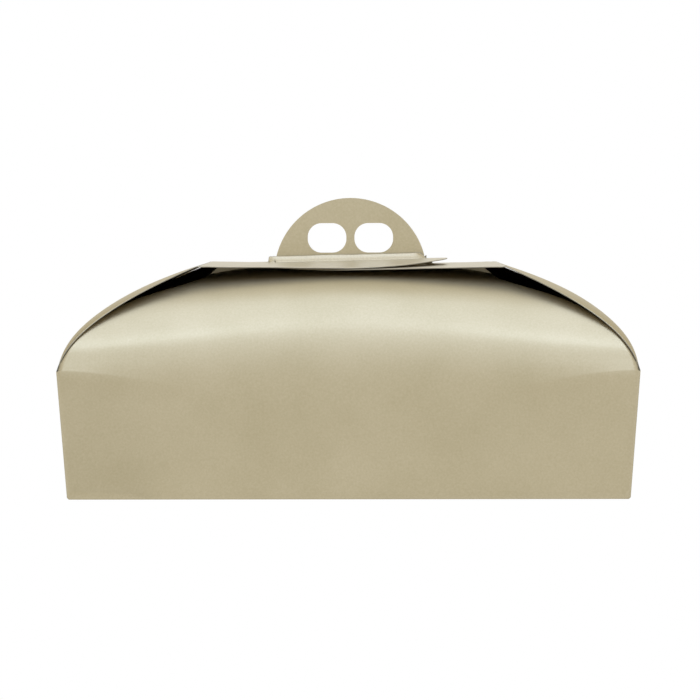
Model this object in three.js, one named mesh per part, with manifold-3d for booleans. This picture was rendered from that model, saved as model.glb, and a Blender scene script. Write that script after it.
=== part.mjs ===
// Cake box with a carrying handle, folded and glued from one sheet of board.
// Millimetres, Z up. X runs along the box, Y from its front to its back, and the origin is
// the middle of the underside. The front is the side at negative Y.

import * as THREE from 'three';
import { mergeVertices } from 'three/addons/utils/BufferGeometryUtils.js';
import Module from 'manifold-3d';

// Board
const board = 0.5;            // thickness of the sheet
const cut = 5;                // how far a cutter runs past what it cuts
const weld = 0.1;             // how far two glued or folded panels run into each other
const cornerLap = 0.2;        // how far a long wall runs into an end wall at their fold

// Tray: the underside and the four leaning walls
const baseLength = 350;
const baseWidth = 250;
const wallHeight = 80;
const wallFlare = 5.8;        // how far a wall's top stands out from its foot
const tabWidth = 22;          // glued tab inside each corner
const tabMargin = 4;          // what the tab leaves free above and below it
const tabSlant = 6;           // how far a tab's ends slope

// Long panels: they bend over and meet at the handle
const longBend = 25;          // how far below the wall's top the bend starts in the middle
const longRise = 65;          // fullness of the bend above the wall
const longReach = 103;        // fullness of the bend towards the handle
const longDip = 2.7;          // height that is left to climb over that reach
const ridgeHeight = 141.7;    // crease between a long panel and the handle, in the middle
const shoulderHalf = 95;      // from the middle to the tip of a shoulder
const frontSag = 5.7;         // how much lower the front crease lies at that tip
const backSag = 1;
const shoulderSlope = 6.5;    // length over which a shoulder comes to a point
const shoulderRoom = 0.1;     // how much lower a shoulder's top lies than the crease's crown

// Handle
const handleHalf = 49.6;      // half width of the half-moon
const handleStart = ridgeHeight + 7.3; // height at which its sides turn into the arch
const archHeight = 38.4;
const handleGap = 0.5;        // between the front and the back half of the handle
const fingerWidth = 26;
const fingerHeight = 19.8;
const fingerRadius = 9.3;
const fingerBridge = 5.4;     // web between the two finger holes
const fingerRise = 11.6;      // from the foot of the arch up to their centres

// End panels: they bend over the long panels' cut edges and end in the slotted flaps
const leftCrease = 98;        // from the middle to the crease of the locking flap
const rightCrease = 101;      // from the middle to the crease of the flap below it
const creaseHalf = 68;        // half length of these creases
const endBend = 3;            // how far below the wall's top the bend starts in the middle
const endRise = 27;           // fullness of the bend above the wall
const endBulge = 4.5;         // how far it stands out over that rise
const endReach = 55;          // fullness of the bend towards the crease
const endDip = 16.8;          // height that is left to climb over that reach
const edgeRise = 12.4;        // the same three for the cut edges of an end panel
const edgeReach = 68;
const edgeDip = 28.8;
const edgeInset = 3.6;        // how far the cut edge leans in over its rise, along the box
const edgeLean = 2.5;         // the same, across the box
const lapGap = 0.4;           // between an end panel and the long panel below it, at its crease
const lapOver = 12;           // how far the long panel runs in below it, at its crease
const lapLift = 2;            // how much the long panel's cut edge rises to the bulge above it
const frontSlack = 6.5;       // how far the front panel hangs below the crease
const backSlack = 0.8;

// Slotted flaps: the lower one first, then the locking flap above it
const flapHalf = 65;          // half width at the middle of the box, and reach past it
const lowerHeight = ridgeHeight + 0.9;    // middle of the lower flap's board, along the box
const lowerDroop = 1.8;       // how far its long edges hang
const upperHeight = lowerHeight + board;  // the same for the locking flap, at its crease
const upperLift = 3.6;        // how much higher its tip stands
const upperDroop = 3.5;
const slotHalf = 4.2;         // half width of the slot
const slotRoom = 3.5;         // what the slot leaves free at each end of the handle
const slotShift = 2;          // how far each flap sits back towards its own crease
const lipCreaseSlope = 0.6;   // what a lip's top edge is shorter than its foot, crease end
const lipTipSlope = 4.6;      // the same at the tip's end
const upperLipLean = 1.9;     // how far the locking flap's lips lean towards the handle
const upperLipHeight = 4.1;
const lowerLipLean = 2.75;
const lowerLipHeight = 3;
const hingeRoom = 0.2;        // from the hinge line to the locking flap's board
const creaseRoom = 0.5;       // from the hinge line to the end panel's board

// Grid steps of the curved sheets
const wallSteps = 2;
const bendSteps = 12;
const longSteps = 20;
const endSteps = 12;
const flapSteps = 12;
const arcSteps = 10;

const wasm = await Module();
wasm.setup();

const handleOffset = (handleGap + board) / 2;
const mix = THREE.MathUtils.lerp;

// Solids

function toSolid(geometry) {
  geometry.deleteAttribute('normal');
  geometry.deleteAttribute('uv');
  const merged = mergeVertices(geometry, 1e-5);
  return new wasm.Manifold(new wasm.Mesh({
    numProp: 3,
    vertProperties: new Float32Array(merged.attributes.position.array),
    triVerts: new Uint32Array(merged.index.array),
  }));
}

function toGeometry(solid) {
  const mesh = solid.getMesh();
  const geometry = new THREE.BufferGeometry();
  geometry.setAttribute('position', new THREE.BufferAttribute(mesh.vertProperties, 3));
  geometry.setIndex(new THREE.BufferAttribute(mesh.triVerts, 1));
  return geometry;
}

function joined(pieces) {
  return pieces.reduce((whole, piece) => whole.add(piece));
}

// A closed sheet of board whose middle follows surface(u, v), u and v running from 0 to 1
function sheet(surface, columns, rows) {
  const width = columns + 1;
  const at = (column, row) => surface(column / columns, row / rows);
  const outer = [];
  const inner = [];
  for (let row = 0; row <= rows; row++) {
    for (let column = 0; column <= columns; column++) {
      const across = at(Math.min(column + 1, columns), row).sub(at(Math.max(column - 1, 0), row));
      const up = at(column, Math.min(row + 1, rows)).sub(at(column, Math.max(row - 1, 0)));
      const half = across.cross(up).setLength(board / 2);
      const middle = at(column, row);
      outer.push(...middle.clone().add(half));
      inner.push(...middle.sub(half));
    }
  }
  const back = width * (rows + 1);
  const index = [];
  const quad = (a, b, c, d) => index.push(a, b, c, a, c, d);
  for (let row = 0; row < rows; row++) {
    for (let column = 0; column < columns; column++) {
      const corner = row * width + column;
      const above = corner + width;
      quad(corner, corner + 1, above + 1, above);
      quad(back + corner, back + above, back + above + 1, back + corner + 1);
    }
  }
  for (let column = 0; column < columns; column++) {
    const top = rows * width + column;
    quad(column, back + column, back + column + 1, column + 1);
    quad(top, top + 1, back + top + 1, back + top);
  }
  for (let row = 0; row < rows; row++) {
    const left = row * width;
    const right = left + columns;
    quad(left, left + width, back + left + width, back + left);
    quad(right, back + right, back + right + width, right + width);
  }
  const geometry = new THREE.BufferGeometry();
  geometry.setAttribute('position', new THREE.Float32BufferAttribute([...outer, ...inner], 3));
  geometry.setIndex(index);
  return toSolid(geometry);
}

// A flat shape drawn in X and Y, cut out of everything between two heights
function prism(shape, low, high) {
  const geometry = new THREE.ExtrudeGeometry(shape, {
    depth: high - low,
    bevelEnabled: false,
    curveSegments: arcSteps,
  });
  geometry.translate(0, 0, low);
  return toSolid(geometry);
}

// Walls and the panels above them, drawn facing the front with their foot along X

function wallFrame(length, width, lap) {
  const foot = (length - board) / 2 + lap;
  const standoff = (width - board) / 2;
  return {
    foot,
    standoff,
    corner: new THREE.Vector3(foot + wallFlare, -standoff - wallFlare, wallHeight),
    wallPoint(share, height) {
      const lean = wallFlare * height / wallHeight;
      return new THREE.Vector3(share * (foot + lean), -standoff - lean, height);
    },
  };
}

const longFrame = wallFrame(baseLength, baseWidth, cornerLap);
const endFrame = wallFrame(baseWidth, baseLength, 0);

// The bend in the middle of a panel, from the wall to the crease at its top
function middleBend(frame, start, rise, bulge, top, reach, dip) {
  const height = wallHeight - start;
  const lift = frame.wallPoint(0, height + rise);
  lift.y -= bulge;
  return new THREE.CubicBezierCurve3(
    frame.wallPoint(0, height),
    lift,
    new THREE.Vector3(0, top.y - reach, top.z - dip),
    top,
  );
}

// How much of its cut edge a panel follows, from its middle to its sides
function longShare(share, along) {
  const arch = 1 - (1 - share * share) ** 2;
  return mix(arch, share ** 4, along * along);
}

function endShare(share, along) {
  return mix(share ** 8, share * share, along);
}

// A whole panel: flat wall up to the arched line where it starts to bend, then the bend
function panel(frame, middle, edge, edgeShare) {
  const start = middle.getPoint(0).z;
  const steps = wallSteps + bendSteps;
  return sheet((u, v) => {
    const share = 2 * u - 1;
    const row = Math.round(v * steps);
    if (row <= wallSteps) {
      const top = mix(start, wallHeight, 1 - (1 - share * share) ** 2);
      return frame.wallPoint(share, mix(board / 2, top, row / wallSteps));
    }
    const along = (row - wallSteps) / bendSteps;
    const inside = middle.getPoint(along);
    const outside = edge.getPoint(along);
    const blend = edgeShare(share, along);
    return new THREE.Vector3(
      share * outside.x,
      mix(inside.y, outside.y, blend),
      mix(inside.z, outside.z, blend),
    );
  }, frame === longFrame ? longSteps : endSteps, steps);
}

// Slotted flaps, drawn for the flap whose crease is at negative X

function lowerSurface(x, y) {
  const away = Math.min(1, (x + rightCrease) / rightCrease);
  return lowerHeight - lowerDroop * away * (y / flapHalf) ** 2;
}

function upperSurface(x, y) {
  const along = (x + leftCrease) / (leftCrease + flapHalf);
  const away = Math.min(1, (x + leftCrease) / leftCrease);
  return upperHeight + upperLift * along - upperDroop * away * (y / flapHalf) ** 2;
}

function flapOutline(start) {
  const shape = new THREE.Shape();
  shape.moveTo(start, -creaseHalf);
  shape.lineTo(0, -flapHalf);
  shape.absellipse(0, 0, flapHalf, flapHalf, -Math.PI / 2, Math.PI / 2);
  shape.lineTo(start, creaseHalf);
  shape.closePath();
  return shape;
}

function slotOutline() {
  const half = handleHalf + slotRoom;
  const shape = new THREE.Shape();
  shape.moveTo(-half - slotShift, -slotHalf);
  shape.lineTo(half - slotShift, -slotHalf);
  shape.lineTo(half - slotShift, slotHalf);
  shape.lineTo(-half - slotShift, slotHalf);
  shape.closePath();
  return shape;
}

// The strip that the handle pushes up along one long side of the slot, -1 front or 1 back
function lip(surface, side, lean, height) {
  const half = handleHalf + slotRoom - weld;
  return sheet((u, v) => {
    const x = mix(v * lipCreaseSlope - half, half - v * lipTipSlope, u) - slotShift;
    const foot = slotHalf + board / 2;
    const y = side * (foot - v * (lean + board / 2));
    return new THREE.Vector3(x, y, surface(x, foot) + v * height);
  }, flapSteps, 1);
}

function slottedFlap(surface, start, lean, height) {
  const tip = flapHalf + weld;
  const side = Math.max(creaseHalf, flapHalf) + weld;
  const blank = sheet((u, v) => {
    const x = mix(start, tip, u);
    const y = mix(-side, side, v);
    return new THREE.Vector3(x, y, surface(x, y));
  }, flapSteps, flapSteps);
  const low = lowerHeight - lowerDroop - cut;
  const high = upperHeight + upperLift + cut;
  const trimmed = blank
    .intersect(prism(flapOutline(start), low, high))
    .subtract(prism(slotOutline(), low, high));
  return joined([trimmed, lip(surface, -1, lean, height), lip(surface, 1, lean, height)]);
}

// End panels

function endEdge(crease, height) {
  const corner = endFrame.corner;
  const top = new THREE.Vector3(creaseHalf, -crease, height);
  const inwards = (corner.x - creaseHalf) / (-corner.y - crease);
  return new THREE.CubicBezierCurve3(
    corner,
    new THREE.Vector3(corner.x - edgeLean, corner.y + edgeInset, corner.z + edgeRise),
    new THREE.Vector3(creaseHalf + edgeReach * inwards, top.y - edgeReach, top.z - edgeDip),
    top,
  );
}

function endPanel(crease, height, room) {
  const line = crease + room;
  const top = new THREE.Vector3(0, -line, height);
  const middle = middleBend(endFrame, endBend, endRise, endBulge, top, endReach, endDip);
  return panel(endFrame, middle, endEdge(line, height), endShare);
}

// Tabs of the long walls, glued to the inside of an end wall
function glueTab(side) {
  const lap = board - weld;
  return sheet((u, v) => {
    const slope = tabSlant * (1 - u);
    const height = mix(tabMargin + slope, wallHeight - tabMargin - slope, v);
    const corner = endFrame.wallPoint(1, height);
    const x = side * (corner.x - tabWidth * (side > 0 ? 1 - u : u));
    return new THREE.Vector3(x, corner.y + lap, height);
  }, 1, 1);
}

// Long panels and the handle

// A point of a long panel's cut edge, hung below the end panel's own edge
function hungBelow(edge, along, slack) {
  const tangent = edge.getTangent(along);
  const outward = new THREE.Vector3(0, -tangent.z, tangent.y).normalize();
  const point = edge.getPoint(along).addScaledVector(outward, -board - lapGap * along);
  const depth = point.x - lapOver * along ** 1.5;
  const lift = lapLift * 4 * along * (1 - along) - slack * along ** 4;
  return new THREE.Vector3(-point.y, -depth, point.z + lift);
}

function longEdge(sag, slack) {
  const edge = endEdge(rightCrease, lowerHeight);
  const hung = [0.12, 0.3, 0.5, 0.75, 1].map((along) => hungBelow(edge, along, slack));
  const tip = new THREE.Vector3(shoulderHalf, -handleOffset, creaseHeight(shoulderHalf, sag));
  return new THREE.CatmullRomCurve3([longFrame.corner, ...hung, tip]);
}

function creaseHeight(x, sag) {
  return ridgeHeight - sag * Math.abs(x / shoulderHalf) ** 3;
}

function longPanel(sag, slack) {
  const top = new THREE.Vector3(0, -handleOffset, ridgeHeight);
  const middle = middleBend(longFrame, longBend, longRise, 0, top, longReach, longDip);
  return panel(longFrame, middle, longEdge(sag, slack), longShare);
}

function fingerHole(centre) {
  const halfWidth = fingerWidth / 2 - fingerRadius;
  const halfHeight = fingerHeight / 2 - fingerRadius;
  const level = handleStart + fingerRise;
  const hole = new THREE.Path();
  const corner = (x, y, from) => {
    hole.absarc(centre + x * halfWidth, level + y * halfHeight, fingerRadius,
      from, from + Math.PI / 2);
  };
  corner(1, 1, 0);
  corner(-1, 1, Math.PI / 2);
  corner(-1, -1, Math.PI);
  corner(1, -1, 1.5 * Math.PI);
  hole.closePath();
  return hole;
}

// Half-moon and shoulders, drawn with X along the box and Y as the height
function handleHalfSheet(sag) {
  const shoulderTop = ridgeHeight - shoulderRoom;
  const radius = (handleHalf ** 2 + archHeight ** 2) / (2 * archHeight);
  const centre = handleStart + archHeight - radius;
  const turn = Math.asin((handleStart - centre) / radius);
  const shape = new THREE.Shape();
  shape.moveTo(shoulderHalf, creaseHeight(shoulderHalf, sag));
  shape.lineTo(shoulderHalf - shoulderSlope, shoulderTop);
  shape.lineTo(handleHalf, shoulderTop);
  shape.lineTo(handleHalf, handleStart);
  shape.absarc(0, centre, radius, turn, Math.PI - turn);
  shape.lineTo(-handleHalf, shoulderTop);
  shape.lineTo(shoulderSlope - shoulderHalf, shoulderTop);
  for (let step = 0; step < longSteps; step++) {
    const x = mix(-shoulderHalf, shoulderHalf, step / longSteps);
    shape.lineTo(x, creaseHeight(x, sag) - 2 * weld);
  }
  shape.closePath();
  const spacing = (fingerWidth + fingerBridge) / 2;
  shape.holes.push(fingerHole(-spacing), fingerHole(spacing));
  return prism(shape, handleGap / 2, handleGap / 2 + board).rotate([90, 0, 0]);
}

// A long panel with its half of the handle
function longSide(sag, slack) {
  return longPanel(sag, slack).add(handleHalfSheet(sag));
}

// Underside, one corner's width short of the walls' outer faces
function underside() {
  const sink = 2 * weld;
  const plate = new THREE.BoxGeometry(baseLength - sink, baseWidth - sink, board);
  plate.translate(0, 0, board / 2);
  return toSolid(plate);
}

function carton() {
  const left = endPanel(leftCrease, upperHeight, creaseRoom);
  const right = endPanel(rightCrease, lowerHeight, 0);
  const tabs = joined([glueTab(-1), glueTab(1)]);
  const lower = slottedFlap(lowerSurface, -rightCrease - board / 2, lowerLipLean, lowerLipHeight);
  return joined([
    underside(),
    longSide(frontSag, frontSlack),
    longSide(backSag, backSlack).rotate([0, 0, 180]),
    left.add(tabs).rotate([0, 0, -90]),
    right.add(tabs).rotate([0, 0, 90]),
    lower.rotate([0, 0, 180]),
  ]);
}

function lockingFlap() {
  return slottedFlap(upperSurface, hingeRoom - leftCrease, upperLipLean, upperLipHeight);
}

// Finish: champagne metallised board outside
function boardFinish() {
  return new THREE.MeshStandardMaterial({ color: 0xc8bc9a, roughness: 0.38, metalness: 0.55 });
}

function piece(name, solid) {
  const mesh = new THREE.Mesh(toGeometry(solid), boardFinish());
  mesh.name = name;
  return mesh;
}

const cakeBox = new THREE.Group();
cakeBox.add(piece('carton', carton()));
cakeBox.add(piece('locking_flap', lockingFlap()));

export default cakeBox;
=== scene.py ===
import math
import bmesh
import bpy
from mathutils import Matrix, Vector, noise
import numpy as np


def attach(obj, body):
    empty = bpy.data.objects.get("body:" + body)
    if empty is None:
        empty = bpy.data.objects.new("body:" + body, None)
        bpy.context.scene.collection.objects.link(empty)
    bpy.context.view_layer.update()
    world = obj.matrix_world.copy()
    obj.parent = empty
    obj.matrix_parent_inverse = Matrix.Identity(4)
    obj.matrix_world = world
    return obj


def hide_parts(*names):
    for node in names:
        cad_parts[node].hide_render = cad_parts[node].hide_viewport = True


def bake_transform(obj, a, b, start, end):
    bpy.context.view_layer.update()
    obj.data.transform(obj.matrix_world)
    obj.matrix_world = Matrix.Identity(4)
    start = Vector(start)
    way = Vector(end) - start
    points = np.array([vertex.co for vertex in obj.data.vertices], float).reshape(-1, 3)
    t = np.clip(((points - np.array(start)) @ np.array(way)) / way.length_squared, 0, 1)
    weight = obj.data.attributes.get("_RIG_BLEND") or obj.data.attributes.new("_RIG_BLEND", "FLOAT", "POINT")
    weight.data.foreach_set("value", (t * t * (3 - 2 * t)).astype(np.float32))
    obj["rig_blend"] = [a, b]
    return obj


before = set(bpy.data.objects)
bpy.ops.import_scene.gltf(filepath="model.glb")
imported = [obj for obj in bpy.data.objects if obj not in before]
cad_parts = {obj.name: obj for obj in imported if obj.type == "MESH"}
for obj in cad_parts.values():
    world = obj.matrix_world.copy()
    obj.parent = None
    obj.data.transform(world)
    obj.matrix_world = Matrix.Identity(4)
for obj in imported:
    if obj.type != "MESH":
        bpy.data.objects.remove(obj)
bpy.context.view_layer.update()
mm = 0.001

# The sheet, and the tray that it folds into. All sizes are in millimetres.
board = {"thickness": 0.5, "foldRadius": 0.9}
tray = {"length": 350, "width": 250, "wallHeight": 80, "flare": 5.8, "foldWorn": 0.65,
        "wallRows": 14, "bendRows": 44, "longColumns": 120, "endColumns": 80}
glueTab = {"width": 22, "margin": 4, "slant": 6, "steps": 12}
longRoof = {"bend": 25, "rise": 65, "bulge": 0, "reach": 103, "dip": 2.7, "ridge": 141.7,
            "shoulderHalf": 95, "frontSag": 5.7, "backSag": 1, "frontSlack": 8.5, "backSlack": 0.8}
handle = {"half": 49.6, "start": 149, "arch": 38.4, "gap": 0.5, "footRoom": 0.2,
          "shoulderSlope": 6.5, "shoulderRoom": 0.1, "fingerWidth": 26, "fingerHeight": 19.8,
          "fingerRadius": 9.3, "bridge": 5.4, "level": 160.6,
          "archSteps": 96, "footSteps": 80, "cornerSteps": 16}
endRoof = {"leftCrease": 98, "creaseRoom": 0.5, "rightCrease": 101, "creaseHalf": 68,
           "bend": 3, "rise": 27, "bulge": 4.5, "reach": 55, "dip": 16.8,
           "edgeRise": 12.4, "edgeReach": 68, "edgeDip": 28.8, "inset": 3.6, "lean": 2.5,
           "lapGap": 0.4, "lapLift": 2, "frontOver": 12, "backOver": 12,
           "lapStations": (0.12, 0.3, 0.5, 0.75, 1)}
flaps = {"half": 65, "lowerHeight": 142.6, "lowerDroop": 1.8, "lowerSeed": 4.0,
         "upperHeight": 143.1, "lift": 3.6, "upperDroop": 3.5, "upperRoom": 0.2, "upperSeed": 9.0,
         "slotHalf": 4.2, "slotRoom": 3.5, "slotShift": 2, "slotTurn": 38,
         "bandSteps": 26, "sideSteps": 84, "paintedLight": 0.9, "creaseBand": 0.3}
# Unevenness of the flaps: its height, its waves per millimetre, and how far from the crease it
# starts or reaches
uneven = {"ripple": 0.18, "rippleScale": 0.03, "rippleStart": 20,
          "wrinkle": 0.5, "wrinkleScale": 0.25, "wrinkleStart": 4, "wrinkleReach": 7}
lips = {"creaseSlope": 0.6, "tipSlope": 4.6, "upperLean": 1.9, "upperHeight": 4.1,
        "lowerLean": 2.75, "lowerHeight": 3, "rows": 8, "bendPower": 0.75, "leanPower": 1.4,
        "wobble": 0.25, "wobbleScale": 0.06, "wobbleSeed": 3.0, "curl": 2.2, "curlLength": 2.5}
creaseFold = {"half": 0.9, "below": 0.04, "columns": 12, "rows": 60}
weld = {"grid": 0.001, "lips": 0.02}


def mix(a, b, t):
    return a + (b - a) * t


def cubic(p, t):
    s = 1 - t
    return p[0] * s ** 3 + p[1] * 3 * s * s * t + p[2] * 3 * s * t * t + p[3] * t ** 3


def cubicTangent(p, t):
    s = 1 - t
    return (p[1] - p[0]) * s * s + (p[2] - p[1]) * 2 * s * t + (p[3] - p[2]) * t * t


def threadThrough(points, t):
    # a smooth curve through all points, its knots spaced by the square root of the distance
    at = t * (len(points) - 1)
    i = min(int(at), len(points) - 2)
    w = at - i
    b, c = points[i], points[i + 1]
    a = points[i - 1] if i else b * 2 - c
    d = points[i + 2] if i + 2 < len(points) else c * 2 - b
    ab, bc, cd = [math.sqrt((q - p).length) for p, q in ((a, b), (b, c), (c, d))]
    leave = ((b - a) / ab - (c - a) / (ab + bc) + (c - b) / bc) * bc
    arrive = ((c - b) / bc - (d - b) / (bc + cd) + (d - c) / cd) * bc
    return (b + leave * w + (c * 3 - b * 3 - leave * 2 - arrive) * w * w
            + (b * 2 - c * 2 + leave + arrive) * w ** 3)


# Heights of the two flaps, both drawn with their crease at negative X; the lower one is turned
# round when its mesh is made
def lowerSurface(x, y):
    away = min(1, (x + endRoof["rightCrease"]) / endRoof["rightCrease"])
    return flaps["lowerHeight"] - flaps["lowerDroop"] * away * (y / flaps["half"]) ** 2


def upperSurface(x, y):
    crease = endRoof["leftCrease"]
    along = (x + crease) / (crease + flaps["half"])
    droop = flaps["upperDroop"] * min(1, (x + crease) / crease)
    return flaps["upperHeight"] + flaps["lift"] * along - droop * (y / flaps["half"]) ** 2


def wallPoint(length, width, share, height):
    # a point of a wall that faces the front, on the middle of its board
    lean = tray["flare"] * height / tray["wallHeight"]
    foot = (length - board["thickness"]) / 2 - board["foldRadius"]
    return Vector((share * (foot + lean), -(width - board["thickness"]) / 2 - lean, height))


def middleBend(length, width, roof, top):
    low = tray["wallHeight"] - roof["bend"]
    lift = wallPoint(length, width, 0, low + roof["rise"]) - Vector((0, roof["bulge"], 0))
    reach = Vector((0, top.y - roof["reach"], top.z - roof["dip"]))
    return [wallPoint(length, width, 0, low), lift, reach, top]


def endEdge(crease, height):
    corner = wallPoint(tray["width"], tray["length"], 1, tray["wallHeight"])
    half = endRoof["creaseHalf"]
    top = Vector((half, -crease, height))
    inwards = (corner.x - half) / (-corner.y - crease)
    rise = Vector((-endRoof["lean"], endRoof["inset"], endRoof["edgeRise"]))
    reach = Vector((endRoof["edgeReach"] * inwards, -endRoof["edgeReach"], -endRoof["edgeDip"]))
    return [corner, corner + rise, top + reach, top]


def creaseHeight(x, sag):
    return longRoof["ridge"] - sag * abs(x / longRoof["shoulderHalf"]) ** 3


def longEdge(sag, slack, over):
    # the cut edge of a long panel hangs below the end panel's own edge, out of sight
    edge = endEdge(endRoof["rightCrease"], flaps["lowerHeight"])
    points = [wallPoint(tray["length"], tray["width"], 1, tray["wallHeight"])]
    for along in endRoof["lapStations"]:
        slope = cubicTangent(edge, along)
        outward = Vector((0, -slope.z, slope.y)).normalized()
        at = cubic(edge, along) - outward * (board["thickness"] + endRoof["lapGap"] * along)
        lift = endRoof["lapLift"] * 4 * along * (1 - along) - slack * along ** 4
        points.append(Vector((-at.y, over * along ** 1.5 - at.x, at.z + lift)))
    tip = longRoof["shoulderHalf"]
    points.append(Vector((tip, -(handle["gap"] + board["thickness"]) / 2, creaseHeight(tip, sag))))
    return points


def addGrid(bm, columns, rows, place):
    # a grid of faces, each corner placed by its shares across and up; returns its rows of vertices
    made = bmesh.ops.create_grid(bm, x_segments=columns, y_segments=rows, size=0.5)["verts"]
    table = [[None] * (columns + 1) for _ in range(rows + 1)]
    for vert in made:
        column = round((vert.co.x + 0.5) * columns)
        row = round((vert.co.y + 0.5) * rows)
        table[row][column] = vert
    for row in range(rows + 1):
        for column in range(columns + 1):
            table[row][column].co = place(column / columns, row / rows)
    return table


def longShare(share, along):
    return mix(1 - (1 - share * share) ** 2, share ** 4, along * along)


def endShare(share, along):
    return mix(share ** 8, share * share, along)


def addPanel(bm, length, width, middle, edgeAt, edgeShare, columns):
    # flat wall up to the arched line where the bend starts, then the bend
    rows = tray["wallRows"] + tray["bendRows"]
    start = middle[0].z

    def place(u, v):
        share = 2 * u - 1
        row = round(v * rows)
        if row < tray["wallRows"]:
            top = mix(start, tray["wallHeight"], 1 - (1 - share * share) ** 2)
            lowest = board["thickness"] / 2 + board["foldRadius"]
            return wallPoint(length, width, share, mix(lowest, top, row / tray["wallRows"]))
        along = (row - tray["wallRows"]) / tray["bendRows"]
        inside, outside = cubic(middle, along), edgeAt(along)
        blend = edgeShare(share, along)
        return Vector((share * outside.x, mix(inside.y, outside.y, blend),
                       mix(inside.z, outside.z, blend)))

    return addGrid(bm, columns, rows, place)


def turnVerts(bm, verts, degrees):
    matrix = Matrix.Rotation(math.radians(degrees), 3, "Z")
    bmesh.ops.rotate(bm, verts=verts, cent=(0, 0, 0), matrix=matrix)


def turned(table, bm, degrees):
    turnVerts(bm, [vert for row in table for vert in row], degrees)
    return table


def newSheet():
    bm = bmesh.new()
    bm.verts.layers.float.new("fold")
    return bm


def markWearAndPaintedLight(bm, verts, amount):
    # how pale the face turns, read by the face's material: real wear at the folds, painted light over the
    # flaps
    layer = bm.verts.layers.float["fold"]
    for vert in verts:
        vert[layer] = amount


def bridge(bm, lineA, lineB):
    edges = [bm.edges.get((p, q)) for line in (lineA, lineB) for p, q in zip(line, line[1:])]
    bmesh.ops.bridge_loops(bm, edges=edges)


def finishMesh(bm, name, materials, thickness=board["thickness"]):
    # the grid is the middle of the board; Solidify gives it both faces and its cut edges, whose
    # materials are slots 0, 1 and 2
    bmesh.ops.recalc_face_normals(bm, faces=bm.faces)
    bmesh.ops.scale(bm, vec=(mm, mm, mm), verts=bm.verts)
    mesh = bpy.data.meshes.new(name)
    for face in bm.faces:
        face.smooth = True
    bm.to_mesh(mesh)
    bm.free()
    piece = bpy.data.objects.new(name, mesh)
    bpy.context.scene.collection.objects.link(piece)
    for material in materials:
        mesh.materials.append(material)
    if thickness:
        solid = piece.modifiers.new("board", "SOLIDIFY")
        solid.thickness = thickness * mm
        solid.offset = 0
        solid.use_even_offset = True
        solid.material_offset = 1
        solid.material_offset_rim = 2
    return piece


# Materials
def toLinear(hexText):
    shares = [int(hexText[i:i + 2], 16) / 255 for i in (1, 3, 5)]
    return [c / 12.92 if c <= 0.04045 else ((c + 0.055) / 1.055) ** 2.4 for c in shares] + [1]


def addNode(tree, kind, settings=None, links=None):
    node = tree.nodes.new(kind)
    for key, value in (settings or {}).items():
        if isinstance(key, str) and hasattr(node, key):
            setattr(node, key, value)
        else:
            node.inputs[key].default_value = value
    for key, socket in (links or {}).items():
        tree.links.new(socket, node.inputs[key])
    return node


def newMaterial(name):
    material = bpy.data.materials.new(name)
    material.use_nodes = True
    tree = material.node_tree
    tree.nodes.clear()
    out = addNode(tree, "ShaderNodeOutputMaterial")
    return material, tree, out


# A wood fibre is 1 to 3 mm long but far too thin to show, so the grain is drawn as blotches of
# about its length
faceLook = {"low": "#B9AD8C", "high": "#C8BC9D", "fibreMm": 1.3, "cloudMm": 38, "fibreShare": 0.6,
            "spreadLow": 0.3, "spreadHigh": 0.7, "metal": 0.85, "roughLow": 0.34, "roughHigh": 0.41,
            "bump": 0.05, "coat": 0.08, "coatRoughness": 0.25, "grazing": "#CDC2A3"}
# pale, less metallic mix: fibre showing at worn folds, and painted light over the flaps
wearAndPaintedLightLook = {"colour": "#F4E7C8", "power": 4.0, "fleckLow": 0.35, "fleckHigh": 0.65,
            "fleckLeast": 0.7, "metal": 0.1}
bumpDepth = 0.0002


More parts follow.
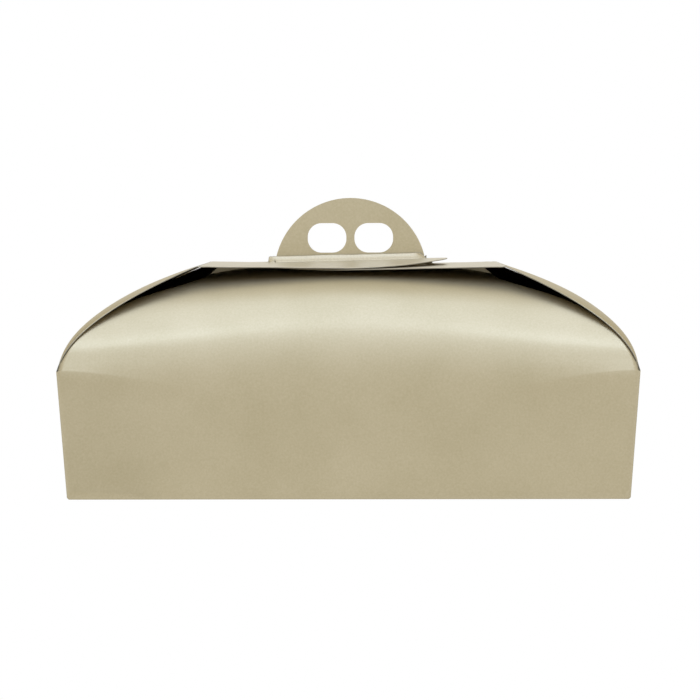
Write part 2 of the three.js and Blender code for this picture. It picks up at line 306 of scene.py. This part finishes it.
def metallisedFace():
    # champagne metallised folding board, film-laminated: a soft wide gloss with a faint
    # fibre grain below it
    material, tree, out = newMaterial("champagneMetallisedBoard")
    place = addNode(tree, "ShaderNodeTexCoord")
    cloud = addNode(tree, "ShaderNodeTexNoise", {"Scale": 1000 / faceLook["cloudMm"], "Detail": 3},
                    {"Vector": place.outputs["Object"]})
    fibre = addNode(tree, "ShaderNodeTexNoise",
                    {"Scale": 1000 / faceLook["fibreMm"], "Detail": 4, "Roughness": 0.6},
                    {"Vector": place.outputs["Object"]})
    both = addNode(tree, "ShaderNodeMix", {"Factor": faceLook["fibreShare"]},
                   {2: cloud.outputs["Fac"], 3: fibre.outputs["Fac"]})
    spread = addNode(tree, "ShaderNodeMapRange",
                     {"From Min": faceLook["spreadLow"], "From Max": faceLook["spreadHigh"]},
                     {"Value": both.outputs[0]})
    colour = addNode(tree, "ShaderNodeMix", {"data_type": "RGBA", 6: toLinear(faceLook["low"]),
                                             7: toLinear(faceLook["high"])}, {0: spread.outputs[0]})
    # the film breaks up along the folds and shows pale fibre; the same mix is painted light over each whole
    # flap, a paler, less metallic top standing in for the overhead lamp's light
    fold = addNode(tree, "ShaderNodeAttribute", {"attribute_name": "fold"})
    near = addNode(tree, "ShaderNodeMath", {"operation": "POWER", 1: wearAndPaintedLightLook["power"]},
                   {0: fold.outputs["Fac"]})
    flecks = addNode(tree, "ShaderNodeMapRange",
                     {"From Min": wearAndPaintedLightLook["fleckLow"], "From Max": wearAndPaintedLightLook["fleckHigh"],
                      "To Min": wearAndPaintedLightLook["fleckLeast"]}, {"Value": fibre.outputs["Fac"]})
    wearAndLight = addNode(tree, "ShaderNodeMath", {"operation": "MULTIPLY"},
                   {0: near.outputs[0], 1: flecks.outputs[0]})
    colour = addNode(tree, "ShaderNodeMix", {"data_type": "RGBA", 7: toLinear(wearAndPaintedLightLook["colour"])},
                     {0: wearAndLight.outputs[0], 6: colour.outputs[2]})
    metal = addNode(tree, "ShaderNodeMapRange",
                    {"To Min": faceLook["metal"], "To Max": wearAndPaintedLightLook["metal"]},
                    {"Value": wearAndLight.outputs[0]})
    rough = addNode(tree, "ShaderNodeMapRange",
                    {"To Min": faceLook["roughLow"], "To Max": faceLook["roughHigh"]},
                    {"Value": fibre.outputs["Fac"]})
    bump = addNode(tree, "ShaderNodeBump", {"Strength": faceLook["bump"], "Distance": bumpDepth},
                   {"Height": fibre.outputs["Fac"]})
    shader = addNode(tree, "ShaderNodeBsdfPrincipled",
                     {"Coat Weight": faceLook["coat"], "Coat Roughness": faceLook["coatRoughness"],
                      "Specular Tint": toLinear(faceLook["grazing"])},
                     {"Base Color": colour.outputs[2], "Metallic": metal.outputs[0],
                      "Roughness": rough.outputs[0], "Normal": bump.outputs[0]})
    tree.links.new(shader.outputs[0], out.inputs[0])
    return material


insideLook = {"low": "#A3967A", "high": "#BBAE90", "fibreMm": 1.4, "bump": 0.15, "rough": 0.85,
              "specular": 0.3}


def bareBack():
    # uncoated buff back of the board: dull, a little mottled with short fibres
    material, tree, out = newMaterial("uncoatedBoardBack")
    place = addNode(tree, "ShaderNodeTexCoord")
    fibre = addNode(tree, "ShaderNodeTexNoise",
                    {"Scale": 1000 / insideLook["fibreMm"], "Detail": 6},
                    {"Vector": place.outputs["Object"]})
    colour = addNode(tree, "ShaderNodeMix",
                     {"data_type": "RGBA", 6: toLinear(insideLook["low"]),
                      7: toLinear(insideLook["high"])}, {0: fibre.outputs["Fac"]})
    bump = addNode(tree, "ShaderNodeBump", {"Strength": insideLook["bump"], "Distance": bumpDepth},
                   {"Height": fibre.outputs["Fac"]})
    shader = addNode(tree, "ShaderNodeBsdfPrincipled",
                     {"Roughness": insideLook["rough"],
                      "Specular IOR Level": insideLook["specular"]},
                     {"Base Color": colour.outputs[2], "Normal": bump.outputs[0]})
    tree.links.new(shader.outputs[0], out.inputs[0])
    return material


# The edge is only 0.5 mm thick; its grain is drawn nearly that coarse, so that it shows
edgeLook = {"low": "#A89F88", "high": "#CFC7B2", "plyMm": 0.35, "rough": 0.75, "specular": 0.3}


def cutEdge():
    # die-cut edge: the bare pale fibre between the film and the back
    material, tree, out = newMaterial("boardCutEdge")
    place = addNode(tree, "ShaderNodeTexCoord")
    fibre = addNode(tree, "ShaderNodeTexNoise", {"Scale": 1000 / edgeLook["plyMm"], "Detail": 3},
                    {"Vector": place.outputs["Object"]})
    colour = addNode(tree, "ShaderNodeMix",
                     {"data_type": "RGBA", 6: toLinear(edgeLook["low"]),
                      7: toLinear(edgeLook["high"])}, {0: fibre.outputs["Fac"]})
    shader = addNode(tree, "ShaderNodeBsdfPrincipled",
                     {"Roughness": edgeLook["rough"], "Specular IOR Level": edgeLook["specular"]},
                     {"Base Color": colour.outputs[2]})
    tree.links.new(shader.outputs[0], out.inputs[0])
    return material


boardFinishes = [metallisedFace(), bareBack(), cutEdge()]


# The tray with its roof panels
def makeShell():
    bm = newSheet()
    length, width = tray["length"], tray["width"]
    halfGap = (handle["gap"] + board["thickness"]) / 2
    ridge = Vector((0, -halfGap, longRoof["ridge"]))
    longMiddle = middleBend(length, width, longRoof, ridge)
    long = {}
    for turn, side in ((0, "front"), (180, "back")):
        edge = longEdge(longRoof[side + "Sag"], longRoof[side + "Slack"], endRoof[side + "Over"])
        table = addPanel(bm, length, width, longMiddle, lambda t: threadThrough(edge, t),
                         longShare, tray["longColumns"])
        long[turn] = turned(table, bm, turn)
    end = {}
    leftLine = endRoof["leftCrease"] + endRoof["creaseRoom"]
    ends = ((-90, leftLine, flaps["upperHeight"]),
            (90, endRoof["rightCrease"], flaps["lowerHeight"]))
    for turn, crease, height in ends:
        top = Vector((0, -crease, height))
        middle = middleBend(width, length, endRoof, top)
        side = endEdge(crease, height)
        table = addPanel(bm, width, length, middle, lambda t: cubic(side, t), endShare,
                         tray["endColumns"])
        end[turn] = turned(table, bm, turn)
    inset = board["thickness"] / 2 + board["foldRadius"]
    floorLength, floorWidth = length - 2 * inset, width - 2 * inset
    floor = addGrid(bm, tray["longColumns"], tray["endColumns"],
                    lambda u, v: Vector(((u - 0.5) * floorLength, (v - 0.5) * floorWidth,
                                         board["thickness"] / 2)))
    rows = tray["wallRows"] + 1
    front, back, left, right = long[0], long[180], end[-90], end[90]
    for table in (front, back, left, right):
        corners = [row[i] for row in table[:rows] for i in (0, -1)]
        markWearAndPaintedLight(bm, corners + table[0], tray["foldWorn"])
    for table in (left, right):
        markWearAndPaintedLight(bm, table[-1], 1)
    for a, b in ((front, right), (right, back), (back, left), (left, front)):
        bridge(bm, [row[-1] for row in a[:rows]], [row[0] for row in b[:rows]])
    bridge(bm, front[0], floor[0])
    bridge(bm, back[0][::-1], floor[-1])
    bridge(bm, left[0][::-1], [row[0] for row in floor])
    bridge(bm, right[0], [row[-1] for row in floor])
    feet = ((front, right, floor[0][-1]), (right, back, floor[-1][-1]),
            (back, left, floor[-1][0]), (left, front, floor[0][0]))
    for a, b, vert in feet:
        bm.faces.new((a[0][-1], b[0][0], vert))
    return finishMesh(bm, "traySheet", boardFinishes)


# Slotted flaps: rings of board round their slot
def slotRing(start):
    # matching points on the slot and on the flap's outline, side by side round the flap
    half = handle["half"] + flaps["slotRoom"]
    x0, x1, w = -half - flaps["slotShift"], half - flaps["slotShift"], flaps["slotHalf"]
    reach, creaseHalf = flaps["half"], endRoof["creaseHalf"]
    turn = math.radians(flaps["slotTurn"])
    steps = flaps["sideSteps"]
    ring = []

    def outside(t):
        # front edge from the crease to the round end, by length
        straight = math.hypot(start, reach - creaseHalf)
        arc = (math.pi / 2 - turn) * reach
        at = t * (straight + arc)
        if at < straight:
            share = at / straight
            return Vector((mix(start, 0, share), -mix(creaseHalf, reach, share)))
        angle = -math.pi / 2 + (at - straight) / reach
        return Vector((math.cos(angle) * reach, math.sin(angle) * reach))

    for i in range(steps):
        t = i / steps
        ring.append((Vector((mix(x0, x1, t), -w)), outside(t)))
    for i in range(steps // 2):
        t = i / (steps // 2)
        angle = mix(-turn, turn, t)
        ring.append((Vector((x1, mix(-w, w, t))),
                     Vector((math.cos(angle), math.sin(angle))) * reach))
    for i in range(steps):
        t = 1 - i / steps
        outer = outside(t)
        ring.append((Vector((mix(x0, x1, t), w)), Vector((outer.x, -outer.y))))
    for i in range(steps // 2):
        t = i / (steps // 2)
        ring.append((Vector((x0, mix(w, -w, t))),
                     Vector((start, mix(creaseHalf, -creaseHalf, t)))))
    return ring


def makeFlap(name, surface, start, lean, height, turn, seed):
    bm = newSheet()
    ring = slotRing(start)
    count = len(ring)

    def heightAt(x, y):
        # a slight ripple all over, and a wrinkle at both ends of the crease
        scale = uneven["rippleScale"]
        ripple = noise.noise(Vector((x * scale, y * scale, seed))) * uneven["ripple"]
        toEnd = math.hypot(x - start, abs(y) - endRoof["creaseHalf"])
        scale = uneven["wrinkleScale"]
        wrinkle = (noise.noise(Vector((x * scale, y * scale, seed))) * uneven["wrinkle"]
                   * math.exp(-(toEnd / uneven["wrinkleReach"]) ** 2))
        return (surface(x, y) + ripple * min(1, (x - start) / uneven["rippleStart"])
                + wrinkle * min(1, (x - start) / uneven["wrinkleStart"]))

    def place(u, v):
        inner, outer = ring[round(u * count) % count]
        at = inner.lerp(outer, v)
        return Vector((at.x, at.y, heightAt(at.x, at.y)))

    addGrid(bm, count, flaps["bandSteps"], place)
    bmesh.ops.remove_doubles(bm, verts=bm.verts, dist=weld["grid"])
    half = handle["half"] + flaps["slotRoom"]
    for side in (-1, 1):
        def stand(u, v):
            # a lip leaves the flap in a short bend and then stands up against the handle
            x = mix(v * lips["creaseSlope"] - half, half - v * lips["tipSlope"], u)
            x -= flaps["slotShift"]
            bend = v ** lips["bendPower"]
            spot = Vector((x * lips["wobbleScale"], side * lips["wobbleSeed"], seed))
            wobble = noise.noise(spot) * lips["wobble"] * v
            # both ends of the lip curl outwards
            curl = lips["curl"] * v * math.exp(-min(u, 1 - u) * 2 * half / lips["curlLength"])
            y = side * (flaps["slotHalf"] - lean * v ** lips["leanPower"] + wobble + curl)
            return Vector((x, y, heightAt(x, side * flaps["slotHalf"]) + height * bend))

        addGrid(bm, flaps["sideSteps"], lips["rows"], stand)
    bmesh.ops.remove_doubles(bm, verts=bm.verts, dist=weld["lips"])
    # the whole flap, lips too, is painted paler and less metallic: painted light standing in for the
    # overhead lamp on the top of the box
    markWearAndPaintedLight(bm, bm.verts, flaps["paintedLight"])
    atCrease = [vert for vert in bm.verts if abs(vert.co.x - start) < flaps["creaseBand"]]
    markWearAndPaintedLight(bm, atCrease, 1)
    turnVerts(bm, bm.verts, turn)
    return finishMesh(bm, name, boardFinishes)


# Handle halves and tabs
def makeHandle(name, turn, sag):
    curve = bpy.data.curves.new(name, "CURVE")
    curve.dimensions = "2D"
    curve.fill_mode = "BOTH"
    curve.extrude = board["thickness"] / 2
    curve.resolution_u = 1

    def spline(points):
        line = curve.splines.new("POLY")
        line.points.add(len(points) - 1)
        for point, (x, z) in zip(line.points, points):
            point.co = (x, z, 0, 1)
        line.use_cyclic_u = True

    tip, top = longRoof["shoulderHalf"], longRoof["ridge"] - handle["shoulderRoom"]
    shoulder = tip - handle["shoulderSlope"]
    radius = (handle["half"] ** 2 + handle["arch"] ** 2) / (2 * handle["arch"])
    centre = handle["start"] + handle["arch"] - radius
    low = math.asin((handle["start"] - centre) / radius)
    outline = [(tip, creaseHeight(tip, sag)), (shoulder, top), (handle["half"], top)]
    for i in range(handle["archSteps"] + 1):
        angle = mix(low, math.pi - low, i / handle["archSteps"])
        outline.append((math.cos(angle) * radius, centre + math.sin(angle) * radius))
    outline += [(-handle["half"], top), (-shoulder, top)]
    for i in range(handle["footSteps"]):
        x = mix(-tip, tip, i / handle["footSteps"])
        outline.append((x, creaseHeight(x, sag) - handle["footRoom"]))
    spline(outline)
    for side in (-1, 1):
        centre = side * (handle["fingerWidth"] + handle["bridge"]) / 2
        r = handle["fingerRadius"]
        hole = []
        for quarter, (sx, sz) in enumerate(((1, 1), (-1, 1), (-1, -1), (1, -1))):
            x = centre + sx * (handle["fingerWidth"] / 2 - r)
            z = handle["level"] + sz * (handle["fingerHeight"] / 2 - r)
            for i in range(handle["cornerSteps"] + 1):
                angle = math.pi / 2 * (quarter + i / handle["cornerSteps"])
                hole.append((x + r * math.cos(angle), z + r * math.sin(angle)))
        spline(hole)
    holder = bpy.data.objects.new(name, curve)
    mesh = bpy.data.meshes.new_from_object(holder)
    bpy.data.objects.remove(holder)
    bm = bmesh.new()
    bm.from_mesh(mesh)
    bpy.data.meshes.remove(mesh)
    bmesh.ops.remove_doubles(bm, verts=bm.verts, dist=weld["grid"])
    away = (handle["gap"] + board["thickness"]) / 2
    place = Matrix.Rotation(math.radians(turn), 4, "Z") @ Matrix.Translation((0, -away, 0))
    upright = Matrix.Rotation(math.pi / 2, 4, "X")
    bmesh.ops.transform(bm, matrix=place @ upright, verts=bm.verts)
    bmesh.ops.recalc_face_normals(bm, faces=bm.faces)
    # metallised face outwards, bare back inwards, cut edge all round
    outwards = -1 if turn == 0 else 1
    nearlyFlat = 0.9
    for face in bm.faces:
        flat = face.normal.y * outwards
        face.material_index = 0 if flat > nearlyFlat else 1 if flat < -nearlyFlat else 2
    piece = finishMesh(bm, name, boardFinishes, thickness=0)
    for polygon in piece.data.polygons:
        polygon.use_smooth = False
    return piece


def makeTabs():
    bm = bmesh.new()
    for turn in (-90, 90):
        for side in (-1, 1):
            def place(u, v):
                away = glueTab["width"] * (u if side < 0 else 1 - u)
                margin = glueTab["margin"] + glueTab["slant"] * away / glueTab["width"]
                height = mix(margin, tray["wallHeight"] - margin, v)
                corner = wallPoint(tray["width"], tray["length"], 1, height)
                return Vector((side * (corner.x - away), corner.y + board["thickness"], height))

            turned(addGrid(bm, glueTab["steps"], glueTab["steps"], place), bm, turn)
    return finishMesh(bm, "cornerTabs", boardFinishes)


def makeCrease():
    # the flexible strip of board that joins the locking flap to the left end panel
    bm = newSheet()
    crease, half = endRoof["leftCrease"], endRoof["creaseHalf"]
    slope = endRoof["dip"] / endRoof["reach"]

    def place(u, v):
        x = mix(-crease - creaseFold["half"], -crease + creaseFold["half"], u)
        y = mix(-half, half, v)
        base = upperSurface(-crease, y)
        below = min(0, x + crease) * slope
        return Vector((x, y, base + below - creaseFold["below"]))

    addGrid(bm, creaseFold["columns"], creaseFold["rows"], place)
    markWearAndPaintedLight(bm, bm.verts, 1)
    return finishMesh(bm, "lockingCrease", boardFinishes)


shell = makeShell()
print("tray and roof panels made")
lowerFlap = makeFlap("lowerSlottedFlap", lowerSurface, -endRoof["rightCrease"],
                     lips["lowerLean"], lips["lowerHeight"], 180, flaps["lowerSeed"])
lockingFlap = makeFlap("lockingSlottedFlap", upperSurface,
                       flaps["upperRoom"] - endRoof["leftCrease"],
                       lips["upperLean"], lips["upperHeight"], 0, flaps["upperSeed"])
print("flaps made")
frontHandle = makeHandle("frontHandleHalf", 0, longRoof["frontSag"])
backHandle = makeHandle("backHandleHalf", 180, longRoof["backSag"])
tabs = makeTabs()
creaseStrip = makeCrease()
print("handle, tabs and crease made")

for piece in (shell, lowerFlap, frontHandle, backHandle, tabs):
    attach(piece, "carton")
    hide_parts("carton")
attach(lockingFlap, "locking_flap")
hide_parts("locking_flap")
# the strip bends from one body to the other over this line, in metres
foldLine = [-endRoof["leftCrease"] * mm, 0, flaps["upperHeight"] * mm]
foldReach = 0.0006
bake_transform(creaseStrip, "carton", "locking_flap",
         start=(foldLine[0] - foldReach, foldLine[1], foldLine[2]),
         end=(foldLine[0] + foldReach, foldLine[1], foldLine[2]))

# Floor, light and camera, in metres
studio = {"floorSeen": "#FFFFFF", "floorMatte": "#E4E2DD", "floorSize": 6.0, "floorDrop": 0.0002,
          "lamp": "#BDD4FF", "world": "#F2F0EA", "worldStrength": 0.45}


def seenDirectly(tree, path):
    # 1 for the camera's own rays and for those that gloss and glass send on
    glossy = addNode(tree, "ShaderNodeMath", {"operation": "MAXIMUM"},
                     {0: path.outputs["Is Camera Ray"], 1: path.outputs["Is Glossy Ray"]})
    either = addNode(tree, "ShaderNodeMath", {"operation": "MAXIMUM"},
                     {0: glossy.outputs[0], 1: path.outputs["Is Transmission Ray"]})
    return either.outputs[0]


def makeFloor():
    bm = bmesh.new()
    bmesh.ops.create_grid(bm, x_segments=1, y_segments=1, size=studio["floorSize"] / mm / 2)
    floor = finishMesh(bm, "studioFloor", [], thickness=0)
    material, tree, out = newMaterial("paleStudioFloor")
    path = addNode(tree, "ShaderNodeLightPath")
    white = addNode(tree, "ShaderNodeEmission",
                    {"Color": toLinear(studio["floorSeen"]), "Strength": 1.0})
    matte = addNode(tree, "ShaderNodeBsdfDiffuse", {"Color": toLinear(studio["floorMatte"])})
    blend = addNode(tree, "ShaderNodeMixShader", None,
                    {0: seenDirectly(tree, path), 1: matte.outputs[0], 2: white.outputs[0]})
    tree.links.new(blend.outputs[0], out.inputs[0])
    floor.data.materials.append(material)
    floor.location.z = -studio["floorDrop"]


def makeWorld():
    world = bpy.data.worlds.new("studioWorld")
    bpy.context.scene.world = world
    world.use_nodes = True
    tree = world.node_tree
    tree.nodes.clear()
    out = addNode(tree, "ShaderNodeOutputWorld")
    path = addNode(tree, "ShaderNodeLightPath")
    white = addNode(tree, "ShaderNodeBackground", {"Color": (1, 1, 1, 1), "Strength": 1.0})
    soft = addNode(tree, "ShaderNodeBackground",
                   {"Color": toLinear(studio["world"]), "Strength": studio["worldStrength"]})
    blend = addNode(tree, "ShaderNodeMixShader", None,
                    {0: seenDirectly(tree, path), 1: soft.outputs[0], 2: white.outputs[0]})
    tree.links.new(blend.outputs[0], out.inputs[0])


# Rising strips in front give the curved roof its soft fall-off
lamps = {
    "overheadSoftbox": {"at": (0, 0, 1.4), "aim": (0, 0, 0), "size": (1.2, 1.6), "watts": 7.0},
    "highFrontStrip": {"at": (0, -1.22, 1.4), "aim": (0, -0.1, 0.12), "size": (1.2, 0.54),
                       "watts": 1.45},
    "middleFrontStrip": {"at": (0, -1.54, 1.02), "aim": (0, -0.1, 0.12), "size": (1.2, 0.48),
                         "watts": 0.9},
    "lowFrontStrip": {"at": (0, -1.73, 0.59), "aim": (0, -0.1, 0.12), "size": (1.2, 0.48),
                      "watts": 0.42},
    "leftLamp": {"at": (-0.36, -0.66, 1.2), "aim": (-0.14, -0.12, 0.1), "size": (0.25, 0.25),
                 "watts": 0.7},
    "rightLamp": {"at": (0.34, -0.66, 1.2), "aim": (0.14, -0.12, 0.1), "size": (0.25, 0.25),
                  "watts": 0.7},
}


def makeLamps():
    for name, lamp in lamps.items():
        light = bpy.data.lights.new(name, "AREA")
        light.shape = "RECTANGLE"
        light.size, light.size_y = lamp["size"]
        light.energy = lamp["watts"]
        light.color = toLinear(studio["lamp"])[:3]
        holder = bpy.data.objects.new(name, light)
        bpy.context.scene.collection.objects.link(holder)
        holder.location = lamp["at"]
        ray = Vector(lamp["aim"]) - Vector(lamp["at"])
        holder.rotation_euler = ray.to_track_quat("-Z", "Y").to_euler()


# Place in metres, turns in degrees, sensor in millimetres; the focal length and the picture's
# middle are in pixels of a 700-pixel frame
camera = {"distance": 1.625, "height": 0.184, "yaw": 0.8, "roll": 0.17, "focal": 2417,
          "frame": 700, "horizon": 203, "across": 350.3, "sensor": 36, "clip": 0.05}


def makeCamera():
    data = bpy.data.cameras.new("photoCamera")
    data.sensor_width = camera["sensor"]
    data.lens = camera["sensor"] * camera["focal"] / camera["frame"]
    data.shift_x = -(camera["across"] - camera["frame"] / 2) / camera["frame"]
    data.shift_y = -(camera["frame"] / 2 - camera["horizon"]) / camera["frame"]
    data.clip_start = camera["clip"]
    holder = bpy.data.objects.new("photoCamera", data)
    bpy.context.scene.collection.objects.link(holder)
    yaw = math.radians(camera["yaw"])
    holder.location = (math.sin(yaw) * camera["distance"], -math.cos(yaw) * camera["distance"],
                       camera["height"])
    roll = Matrix.Rotation(math.radians(-camera["roll"]), 4, "Z")
    turn = Matrix.Rotation(yaw, 4, "Z") @ Matrix.Rotation(math.pi / 2, 4, "X")
    holder.rotation_euler = (turn @ roll).to_euler()
    bpy.context.scene.camera = holder


makeFloor()
makeWorld()
makeLamps()
makeCamera()
bpy.context.scene.view_settings.view_transform = "Standard"
print("studio made")
